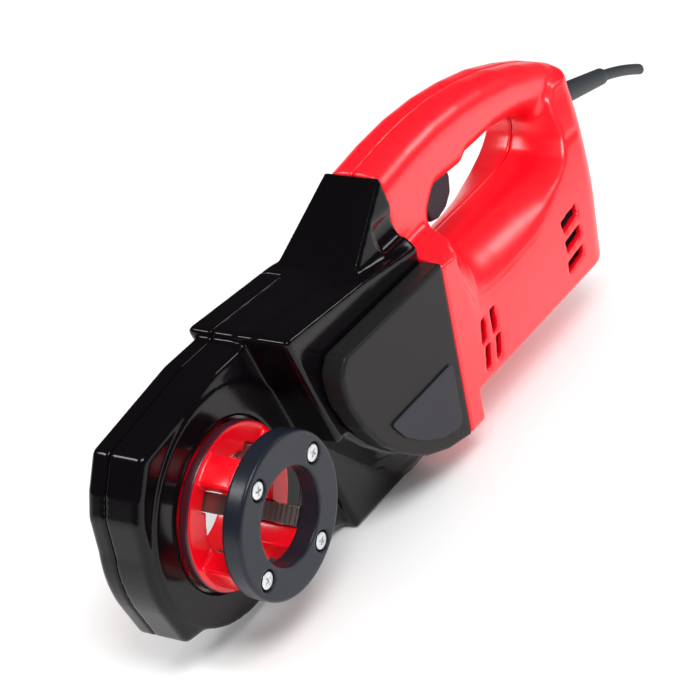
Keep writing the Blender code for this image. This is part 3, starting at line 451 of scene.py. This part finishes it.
def casing():
    grid = Grid((-60, -29, -65), (144, 41, 86), step=1.1)
    x, y, z = grid.x, grid.y, grid.z
    axis_distance = np.sqrt(x**2 + z**2)
    boss = meet(axis_distance - BOSS_R, slab(y, *BOSS_Y), 0.6)
    solid = merge(casing_solid(grid), boss, 0.8)
    hollow = solid + CASE_WALL
    shell = np.maximum(np.maximum(solid, -hollow), x - MATING_X)
    shell = without(shell, axis_distance - OPENING_R, 0.8)

    def near_space(gap):
        neck_root = meet(COVER_END_X - gap - x, COVER_TOP_Z - gap - z)
        return merge(y - PARTING_Y - gap, neck_root)

    show_shape("gear_case_shell", grid, meet(shell, near_space(0), 0.7),
               "gloss_black", "housing", "gear_case")
    show_shape("gear_case_far_shell", grid, meet(shell, -near_space(SEAM), 0.7),
               "gloss_black", "housing", "gear_case_far_cover")


def drum_cap():
    grid = Grid((50, -41, -49), (144, -28, 47), step=0.8)
    side = grid.side(rounded(DRUM, 4))
    outer = meet(side, slab(grid.y, *DRUM_Y), 1.8)
    hollow = meet(side + DRUM_WALL, slab(grid.y, *DRUM_HOLLOW_Y), 1.0)
    show_shape("drum_cover_cap", grid, without(outer, hollow),
               "satin_black", "housing", "drum_cover")


# ---------------------------------------------------------------- the red housing

HANDLE = [(120, -40, 0), (160, -29, 3), (292, -26, 8), (299, -10, 8), (304, 10, 20)]
HANDLE += [(312, 40, 20), (320, 55, 6), (315, 62, 6), (305, 67, 10), (286, 74.5, 30)]
HANDLE += [(263, 82, 30), (239, 87, 30), (216, 90, 30), (192, 91, 30), (168, 89.7, 30)]
HANDLE += [(142, 86.5, 30), (120, 83, 0)]
LOOP = [(181, 20, 5), (198, 8, 0), (240, 8, 0), (264, 16, 8), (278, 26, 8), (284, 36, 10)]
LOOP += [(285, 45, 6), (276, 51.5, 6), (268, 54.5, 8), (256, 56.8, 10), (244, 58.5, 8)]
LOOP += [(217, 58.5, 3), (212, 55.5, 3), (186, 57, 4), (179, 50, 6)]

# The barrel's top runs from the ridge in its middle down to the crease at its sides. Both
# close over the same points below.
LOW_SIDE = [(120, -47, 0), (156, -47, 2), (156, -31, 1.5), (340, -31, 0), (340, 57, 0)]
RIDGE = [(296, 59, 5), (288, 55, 5), (284.5, 48, 6), (282, 38, 8), (276, 30.5, 8)]
RIDGE += [(266, 28.2, 8), (250, 28, 0), (240, 28, 0), (226, 28, 0), (205, 28, 0)]
RIDGE += [(184, 29, 10), (176, 39, 10), (168, 50, 6)]
CREASE = [(298, 59, 5), (290, 55, 8), (292, 47, 8), (291, 40, 10), (286, 32, 12)]
CREASE += [(277, 26, 14), (266, 19.5, 16), (250, 12, 20), (230, 6.5, 20), (200, 4.5, 20)]
CREASE += [(168, 6.3, 8), (158, 26, 8), (155.5, 42, 2)]
TOP_FRONT = [(120, 45, 0)]
BARREL_Y, BARREL_R = -9.0, 31.0
BARREL_SHARE = 0.7

# The housing from above: at each height its two half widths, rear end and corner radius.
# In front it is as wide as the casing's mouth, and narrows over a short way.
PLAN_Z = (-50, -10, 6, 25, 41, 60, 75)
PLAN_NEAR = (40, 40, 38, 33, 27.5, 18.5, 17)
PLAN_FAR = (22, 22, 21.5, 18, 17.3, 16, 16)
PLAN_REAR = (300, 302, 305, 310, 314.5, 320, 320)
PLAN_CORNER = (24, 24, 22, 20, 18, 15, 14)
KINK_SHIFTS = (-8, -4, 0, 4, 8)
HOUSING_NEAR_Y, HOUSING_FAR_Y = 40.0, 22.0
NARROWING_X = (158, 182)
GRIP_HALF_WIDTH, GRIP_EDGE = 17.0, 12.0
HOUSING_WALL = 4.0

FRONT_VENTS = [(x, z) for x in (164, 174.5) for z in (-5.5, -19.5)]
FRONT_VENT = [(0, -6, 1), (5.5, -6, 1), (7.8, 6, 1), (2.3, 6, 1)]
REAR_VENTS = [(254 - 1.2 * row, 2.5 - 10.5 * row) for row in range(3)]
REAR_VENT = [(0, -3.2, 0.8), (17, -0.4, 0.8), (17.3, 5.2, 0.8), (0.3, 3.3, 0.8)]
VENT_DEPTH_NEAR, VENT_DEPTH_FAR = 9, 5

TRIGGER_SLOT = ((182.5, -8.2, 44), (214.5, 8.2, 70))
SLIDER_SLOT = ((218, 5, 71.5), (235, 30, 78.5))
FLANGE_SCREWS = ((-34, 37), (-34, -39.5), (15.5, -39.5))
SCREW_WELL_R, SCREW_WELL_X = 5.2, 156
CORD_DROP_DEG = 13.0
CORD_EXIT = (303.0, 0.0, 41.0)
CORD_HOLE_R, CORD_HOLE_X = 6.6, 293


def along_height(z, values):
    """A value of the plan at each height, with its kinks smoothed out."""
    return sum(np.interp(z + shift, PLAN_Z, values) for shift in KINK_SHIFTS) / len(KINK_SHIFTS)


def housing_solid(grid):
    """The whole housing before it is hollowed and divided."""
    x, y, z = grid.x, grid.y, grid.z
    round_part = np.sqrt(1 - np.clip(np.abs(y - BARREL_Y) / BARREL_R, 0, 1)**2)
    level = np.clip((1 - round_part) / BARREL_SHARE, 0, 1)
    ridge = grid.side(rounded(LOW_SIDE + RIDGE + TOP_FRONT, 3))
    crease = grid.side(rounded(LOW_SIDE + CREASE + TOP_FRONT, 3))
    side = ridge * (1 - level) + crease * level
    corner, rear = along_height(z, PLAN_CORNER), along_height(z, PLAN_REAR)
    narrow = ramp(x, *NARROWING_X)
    near = HOUSING_NEAR_Y + (along_height(z, PLAN_NEAR) - HOUSING_NEAR_Y) * narrow
    far = HOUSING_FAR_Y + (along_height(z, PLAN_FAR) - HOUSING_FAR_Y) * narrow
    out_y, out_x = np.maximum(-y - near, y - far) + corner, x - rear + corner
    plan = np.sqrt(np.maximum(out_y, 0)**2 + np.maximum(out_x, 0)**2)
    plan = plan + np.minimum(np.maximum(out_y, out_x), 0) - corner
    body = meet(side, plan, 1.5)
    band = without(grid.side(rounded(HANDLE, 8)), grid.side(rounded(LOOP, 5)))
    band = meet(band, np.abs(y) - GRIP_HALF_WIDTH, GRIP_EDGE)
    return merge(body, band, 4.0)


def vent_outlines():
    """The four small slots in front and the three rising ones at the back."""
    for spots, outline in ((FRONT_VENTS, FRONT_VENT), (REAR_VENTS, REAR_VENT)):
        for x, z in spots:
            yield [(x + right, z + up, radius) for right, up, radius in outline]


def housing():
    grid = Grid((141, -41, -48), (322, 41, 92), step=1.1)
    x, y, z = grid.x, grid.y, grid.z
    whole = housing_solid(grid)
    shell = np.maximum(np.maximum(whole, -(whole + HOUSING_WALL)), MATING_X + 2 * SEAM - x)
    walls = np.minimum(y + HOUSING_NEAR_Y - VENT_DEPTH_NEAR, HOUSING_FAR_Y - VENT_DEPTH_FAR - y)
    for outline in vent_outlines():
        shell = without(shell, meet(grid.side(rounded(outline, 1)), walls), 0.5)
    shell = without(shell, box_field(grid, *TRIGGER_SLOT, 1.0), 0.8)
    for spot in FLANGE_SCREWS:
        well = np.maximum(rod_field(y, z, spot, SCREW_WELL_R), SCREW_WELL_X - x)
        shell = without(shell, well, 0.6)
    height = z + (x - CORD_EXIT[0]) * tan(radians(CORD_DROP_DEG))
    hole = rod_field(y, height, CORD_EXIT[1:], CORD_HOLE_R)
    shell = without(shell, np.maximum(hole, CORD_HOLE_X - x), 0.5)
    near = meet(shell, y + SEAM, 0.7)
    far = without(shell, y - SEAM, 0.7)
    far = without(far, box_field(grid, *SLIDER_SLOT, 1.0), 0.5)
    show_shape("housing_near_shell", grid, near, "gloss_red", "housing", "housing_near_half")
    show_shape("housing_far_shell", grid, far, "gloss_red", "housing", "housing_far_half")


# ---------------------------------------------------------------- die head, guide and dies

GUIDE_R, BORE_R, GUIDE_FRONT_Y = 37.3, 21.85, -38
SCREW_PITCH_R, SCREW_ANGLES = 29.4, (35, 125, 215, 305)
SEAT_R, SEAT_Y, SHANK_HOLE_R = 5.0, -35.6, 2.3
GUIDE_SCREW_R, GUIDE_SHANK_R = 4.4, 2.0
GUIDE_SCREW_Y = (-38.2, -28.6)
GUIDE_SCREW_TURN, GUIDE_SCREW_TURN_STEP = 18, 31
DOME_RATIO = 3
CROSS_HALF_WIDTH, CROSS_REACH, CROSS_DEPTH, CROSS_RISE = 0.42, 2.1, 1.7, 0.35
# A sloped face's field is scaled, so that it rises by about 1 mm each millimetre
CONE_SLOPE, CONE_START, CONE_SCALE = 0.94, 31.2, 0.73

HEAD_BACK_Y, PILLAR_FRONT_Y = 15.6, -27.7
FLANGE_R, FLANGE_Y = 37.8, (-11.5, -6.3)
HUB_HALF_WIDTH, HUB_FRONT_Y = 33.4, -8
PILLAR_OUTER_R, PILLAR_INNER_R = 35.6, 22.0
PILLAR_HALF_ANGLE, PILLAR_LAG = 12.5, 6
HEAD_BORE_R = 24.2
HEAD_SCREW_END_Y = -15

DIE_ANGLES = (52, 142, 232, 322)
DIE_HALF_WIDTH, DIE_TIP_R, DIE_OUTER_R = 4.3, 19.6, 27.2
DIE_Y, DIE_GAP = (PILLAR_FRONT_Y, -6.0), 0.3
DIE_SLOT_INNER_R, DIE_SLOT_END_Y = 10, -5.4
THREAD_PITCH, THREAD_DEPTH = 2.31, 1.1
TAPER_START_Y, TAPER_LENGTH, TAPER_RISE = -19, 9, 0.22
TIP_SCALE = 0.75


def polar(radius, angle):
    return radius * cos(radians(angle)), radius * sin(radians(angle))


def turned_by(grid, angle):
    """The grid's x and z in axes turned about the pipe: the first points at the angle."""
    c, s = cos(radians(angle)), sin(radians(angle))
    return grid.x * c + grid.z * s, grid.z * c - grid.x * s


def guide_ring():
    grid = Grid((-38, -38.5, -38), (38, -27.5, 38), step=0.6)
    away = np.sqrt(grid.x**2 + grid.z**2)
    ring = meet(away - GUIDE_R, slab(grid.y, GUIDE_FRONT_Y, RING_BACK_Y), 1.6)
    ring = without(ring, away - BORE_R, 1.0)
    for angle in SCREW_ANGLES:
        across = rod_field(grid.x, grid.z, polar(SCREW_PITCH_R, angle), 0)
        seat = np.maximum(across - SEAT_R, grid.y - SEAT_Y)
        ring = without(ring, np.minimum(seat, across - SHANK_HOLE_R), 0.5)
    show_shape("guide_ring_face", grid, ring, "slate", "die_head", "guide_ring")


def screw_head(a, b, along, radius):
    """A domed head with a cross recess; along is the depth below its top."""
    away = np.sqrt(a**2 + b**2)
    dome_r = radius * DOME_RATIO
    dome = np.sqrt(away**2 + (along - dome_r)**2) - dome_r
    head = meet(dome, away - radius, 0.5)
    arm_a = np.maximum(abs(a) - CROSS_HALF_WIDTH, abs(b) - CROSS_REACH)
    arm_b = np.maximum(abs(b) - CROSS_HALF_WIDTH, abs(a) - CROSS_REACH)
    recess = np.maximum(np.minimum(arm_a, arm_b), along - CROSS_DEPTH + CROSS_RISE * away)
    return without(head, recess, 0.15)


def guide_screws():
    top_y, end_y = GUIDE_SCREW_Y
    for number, angle in enumerate(SCREW_ANGLES, 1):
        cx, cz = polar(SCREW_PITCH_R, angle)
        grid = Grid((cx - 4.8, -38.6, cz - 4.8), (cx + 4.8, -28, cz + 4.8), step=0.28)
        turn = radians(GUIDE_SCREW_TURN + GUIDE_SCREW_TURN_STEP * number)
        a = (grid.x - cx) * cos(turn) + (grid.z - cz) * sin(turn)
        b = (grid.z - cz) * cos(turn) - (grid.x - cx) * sin(turn)
        along = grid.y - top_y
        away = np.sqrt(a**2 + b**2)
        cone = (away + grid.y * CONE_SLOPE + CONE_START) * CONE_SCALE
        head = np.maximum(screw_head(a, b, along, GUIDE_SCREW_R), cone)
        shank = np.maximum(away - GUIDE_SHANK_R, 1.5 - along)
        screw = np.maximum(merge(head, shank, 0.3), grid.y - end_y)
        show_shape(f"guide_screw_head_{number}", grid, screw,
                   "zinc", "die_head", f"guide_screw_{number}")


def die_head():
    grid = Grid((-38, -28, -38), (38, 16, 38), step=0.75)
    y = grid.y
    away = np.sqrt(grid.x**2 + grid.z**2)
    flange = meet(away - FLANGE_R, slab(y, *FLANGE_Y), 1.2)
    hub = -1e9
    for angle in (0, 45, 90, 135):
        along, _ = turned_by(grid, angle)
        hub = meet(hub, np.abs(along) - HUB_HALF_WIDTH, 1.0)
    body = merge(flange, meet(hub, slab(y, HUB_FRONT_Y, HEAD_BACK_Y), 1.0), 0.6)
    side_up, side_along = sin(radians(PILLAR_HALF_ANGLE)), cos(radians(PILLAR_HALF_ANGLE))
    for angle in SCREW_ANGLES:
        along, aside = turned_by(grid, angle - PILLAR_LAG)
        wedge = np.abs(aside) * side_along - along * side_up
        pillar = meet(meet(wedge, away - PILLAR_OUTER_R, 1.2), PILLAR_INNER_R - away, 1.2)
        pillar = meet(pillar, slab(y, PILLAR_FRONT_Y, 0), 0.3)
        body = merge(body, np.maximum(pillar, -along), 1.8)
    body = without(body, away - HEAD_BORE_R, 0.8)
    for angle in DIE_ANGLES:
        along, aside = turned_by(grid, angle)
        slot = slab(along, DIE_SLOT_INNER_R, DIE_OUTER_R + DIE_GAP)
        slot = np.maximum(np.abs(aside) - DIE_HALF_WIDTH - DIE_GAP, slot)
        body = without(body, np.maximum(slot, y - DIE_SLOT_END_Y), 0.5)
    for angle in SCREW_ANGLES:
        shank = rod_field(grid.x, grid.z, polar(SCREW_PITCH_R, angle), SHANK_HOLE_R)
        body = without(body, np.maximum(shank, y - HEAD_SCREW_END_Y), 0.3)
    show_shape("die_head_casting", grid, body, "red_paint", "die_head", "die_head_body")


def dies():
    """Four chasers, whose inner faces carry thread ridges that step along the pipe."""
    for number, angle in enumerate(DIE_ANGLES, 1):
        cx, cz = polar((DIE_TIP_R + DIE_OUTER_R) / 2, angle)
        grid = Grid((cx - 6.2, -27.7, cz - 6.2), (cx + 6.2, -6, cz + 6.2), step=0.36)
        along, aside = turned_by(grid, angle)
        step = (grid.y - THREAD_PITCH * (number - 1) / 4) / THREAD_PITCH % 1.0
        ridge = np.abs(step - 0.5) * 2 * THREAD_DEPTH
        taper = np.clip(TAPER_START_Y - grid.y, 0, TAPER_LENGTH) * TAPER_RISE
        tip = DIE_TIP_R + ridge + taper
        block = meet(np.abs(aside) - DIE_HALF_WIDTH, along - DIE_OUTER_R, 0.4)
        block = meet(block, slab(grid.y, *DIE_Y), 0.4)
        die = np.maximum(block, (tip - along) * TIP_SCALE)
        show_shape(f"die_chaser_{number}", grid, die,
                   "tool_steel", "die_head", f"thread_die_{number}")


# ---------------------------------------------------------------- small pieces

BADGE = [(79, -3, 2), (133, -3, 2), (135, -6, 2), (135, -34, 2), (131, -37, 3)]
BADGE += [(116, -33, 12), (101, -25, 12), (88, -15, 10)]
BADGE_Y = (-41.0, -40.3)
TRIGGER = [(184, 64, 1), (206, 64, 1), (210.5, 52, 4), (209, 43.5, 4), (203, 38, 4)]
TRIGGER += [(195, 36, 3), (188.5, 37.5, 2), (184.5, 46, 2)]
TRIGGER_HALF_WIDTH = 7.5
RIB_PITCH, RIB_START_Z, RIB_Z = 3.0, 44, (42, 58)
RIB_HALF_GAP, RIB_HALF_WIDTH, RIB_DEPTH = 0.35, 5.2, 0.45
KNOB = ((222.5, 8.5, 72.5), (230.5, 19.5, 77.5))
KNOB_GROOVES_X, KNOB_GROOVE_Y = (224.3, 226.5, 228.7), 18.9
PAN_HEAD_R, PAN_HEAD_DEPTH = 3.95, 2.2
PAN_SHANK_R, PAN_THREAD_PITCH, PAN_THREAD_DEPTH = 1.7, 0.8, 0.22


def badge_plate():
    grid = Grid((79, -41.2, -38), (136, -40.2, -2), step=0.4)
    plate = meet(grid.side(rounded(BADGE, 2)), slab(grid.y, *BADGE_Y), 0.25)
    show_shape("badge_blank", grid, plate, "slate_plastic", "housing", "badge_plate")


def trigger():
    grid = Grid((183, -8, 35), (212, 8, 65), step=0.5)
    shape = meet(grid.side(rounded(TRIGGER, 3)), np.abs(grid.y) - TRIGGER_HALF_WIDTH, 2.2)
    from_rib = np.abs((grid.z - RIB_START_Z) % RIB_PITCH - RIB_PITCH / 2)
    ribs = np.maximum(from_rib - RIB_HALF_GAP, np.abs(grid.y) - RIB_HALF_WIDTH)
    ribs = np.maximum(ribs, slab(grid.z, *RIB_Z))
    shape = without(shape, np.maximum(ribs, -(shape + RIB_DEPTH)), 0.15)
    show_shape("trigger_lever", grid, shape, "slate_plastic", "trigger", "trigger")


def direction_slider():
    grid = Grid((222, 8, 72), (231, 20, 78), step=0.3)
    knob = box_field(grid, *KNOB, 0.9)
    for x in KNOB_GROOVES_X:
        groove = np.maximum(np.abs(grid.x - x) - 0.35, KNOB_GROOVE_Y - grid.y)
        knob = without(knob, groove, 0.1)
    show_shape("direction_knob", grid, knob,
               "switch_plastic", "direction_slider", "direction_slider")


def pan_screws():
    """The case and flange screws: domed heads with a cross recess on their shanks."""
    names = [name for name in frame["nodes"] if name.startswith(("case_screw", "flange_screw"))]
    for node in names:
        low, high = (in_datum(corner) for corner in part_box(node))
        middle = (low + high) / 2
        grid = Grid(tuple(low), tuple(high), step=0.32)
        if node.startswith("case"):
            a, along, depth = grid.x - middle.x, high.y - grid.y, high.y - low.y
        else:
            a, along, depth = grid.y - middle.y, high.x - grid.x, high.x - low.x
        b = grid.z - middle.z
        head = np.maximum(screw_head(a, b, along, PAN_HEAD_R), along - PAN_HEAD_DEPTH)
        thread = PAN_THREAD_DEPTH * np.abs(along / PAN_THREAD_PITCH % 1.0 - 0.5)
        shank = np.sqrt(a**2 + b**2) - PAN_SHANK_R - thread * 2
        shank = np.maximum(shank, slab(along, 1.5, depth))
        show_shape(f"{node}_detail", grid, np.minimum(head, shank), "zinc", "housing", node)


# ---------------------------------------------------------------- the cord

# Closed profiles of (radius, distance along the cord from the housing)
BOOT = [(6.0, -1.2), (8.6, -1.2), (9.0, -1.8), (9.0, -3.6), (8.6, -4), (3.3, -4), (3.3, 78)]
BOOT += [(4.0, 78.4), (4.5, 77.6)] + [(4.5 + 1.5 * (77 - s) / 58, s) for s in range(74, 20, -3)]
BOOT += [(6.2, 19.6), (7.5, 18), (8.0, 16.6), (8.0, 13.6), (7.4, 12.6), (6.3, 11.8), (6.2, 8)]
CORD = [(0.02, -14), (2.6, -14)] + [(3.0, -13.4 + 2.26 * step) for step in range(60)]
CORD += [(3.0, 121.6), (2.6, 122), (0.02, 122)]
CORD_SAG, SAG_START = 0.0022, 70
LATHE_SIDES = 56
LATHE_SHARP_DEG = 50


def lathe(name, profile, place):
    """A turned mesh from a closed profile of (radius, along) points; place maps its points."""
    spots, faces = [], []
    for radius, along in profile:
        for i in range(LATHE_SIDES):
            turn = 2 * pi * i / LATHE_SIDES
            spots.append(place(along, radius * cos(turn), radius * sin(turn)))
    for row in range(len(profile)):
        here, after = row * LATHE_SIDES, (row + 1) % len(profile) * LATHE_SIDES
        for i in range(LATHE_SIDES):
            j = (i + 1) % LATHE_SIDES
            faces.append((here + i, after + i, after + j, here + j))
    mesh = bpy.data.meshes.new(name)
    mesh.from_pydata(spots, [], faces)
    mesh.shade_smooth()
    mesh.set_sharp_from_angle(angle=radians(LATHE_SHARP_DEG))
    return mesh


def cord_place(along, a, b):
    """A point beside the cord's straight axis, carried into the frame."""
    drop = radians(CORD_DROP_DEG)
    x = CORD_EXIT[0] + along * cos(drop) - b * sin(drop)
    z = CORD_EXIT[2] - along * sin(drop) - b * cos(drop)
    return DATUM + Vector((x, a, z)) * MM


def hanging_cord_place(along, a, b):
    """The same, with the cord sinking under its own weight from just inside the boot's end."""
    sag = CORD_SAG * max(along - SAG_START, 0)**2
    return cord_place(along, a, b) - Vector((0, 0, sag * MM))


def cord():
    show("cord_boot_sleeve", lathe("cord_boot_sleeve", BOOT, cord_place),
         "cord_rubber", "housing", "cord_boot")
    show("cord_length", lathe("cord_length", CORD, hanging_cord_place),
         "cord_rubber", "housing", "power_cord")


# ---------------------------------------------------------------- floor, light and camera

FLOOR_HALF, FLOOR_GAP = 6, 0.0005
LIGHT_AIM = (0.13, 0, 0)
# Each lamp: its name, place from the aim, size and power, in metres and watts
LIGHTS = (
    ("key", (-0.5, -0.7, 1.3), (0.8, 0.5), 16),
    ("near_edges", (1.4, -1.0, 1.02), (0.5, 0.35), 5),
    ("front_edges", (-0.9, 0.92, 1.26), (0.5, 0.3), 9),
)
WORLD_STRENGTH, WORLD_STRENGTH_IN_GLOSS = 0.8, 0.03
CAMERA_AZIMUTH, CAMERA_ELEVATION, CAMERA_ROLL = -52.9, 29.2, -11.7
CAMERA_PLACE = (-704, -619, 583)
LENS_MM, SENSOR_MM = 131.2, 36


def build_stage():
    low, high, z = -FLOOR_HALF, FLOOR_HALF, FLOOR_Z - FLOOR_GAP
    mesh = bpy.data.meshes.new("floor")
    corners = [(low, low, z), (high, low, z), (high, high, z), (low, high, z)]
    mesh.from_pydata(corners, [], [(0, 1, 2, 3)])
    floor = bpy.data.objects.new("floor", mesh)
    bpy.context.scene.collection.objects.link(floor)
    mesh.materials.append(speckled("pale_floor", *FLOOR_FINISH))


def soft_light(name, place, aim, size, power):
    lamp = bpy.data.lights.new(name, "AREA")
    lamp.shape, lamp.size, lamp.size_y, lamp.energy = "RECTANGLE", size[0], size[1], power
    holder = bpy.data.objects.new(name, lamp)
    holder.location = place
    holder.rotation_euler = (aim - place).to_track_quat("-Z", "Y").to_euler()
    bpy.context.scene.collection.objects.link(holder)


def light_scene():
    """Three soft lamps in a white world that is dim in reflections."""
    aim = DATUM + Vector(LIGHT_AIM)
    for name, place, size, power in LIGHTS:
        soft_light(name, aim + Vector(place), aim, size, power)
    world = bpy.data.worlds.new("studio")
    world.use_nodes = True
    nodes, links = world.node_tree.nodes, world.node_tree.links
    ground = nodes["Background"]
    ground.inputs["Color"].default_value = (1, 1, 1, 1)
    path, bright = nodes.new("ShaderNodeLightPath"), nodes.new("ShaderNodeMapRange")
    bright.inputs["To Min"].default_value = WORLD_STRENGTH
    bright.inputs["To Max"].default_value = WORLD_STRENGTH_IN_GLOSS
    links.new(path.outputs["Is Glossy Ray"], bright.inputs["Value"])
    links.new(bright.outputs["Result"], ground.inputs["Strength"])
    bpy.context.scene.world = world
    bpy.context.scene.view_settings.view_transform = "Standard"


def place_camera():
    lens = bpy.data.cameras.new("camera")
    lens.lens, lens.sensor_width, lens.clip_start = LENS_MM, SENSOR_MM, 0.01
    camera = bpy.data.objects.new("camera", lens)
    angles = (radians(90 - CAMERA_ELEVATION), 0, radians(CAMERA_AZIMUTH))
    turn = Euler(angles).to_matrix() @ Matrix.Rotation(radians(CAMERA_ROLL), 3, "Z")
    camera.matrix_world = Matrix.Translation(DATUM + Vector(CAMERA_PLACE) * MM) @ turn.to_4x4()
    bpy.context.scene.collection.objects.link(camera)
    bpy.context.scene.camera = camera


# ---------------------------------------------------------------- the whole

dress_nodes()
casing()
drum_cap()
housing()
guide_ring()
guide_screws()
die_head()
dies()
badge_plate()
trigger()
direction_slider()
pan_screws()
cord()
build_stage()
light_scene()
place_camera()
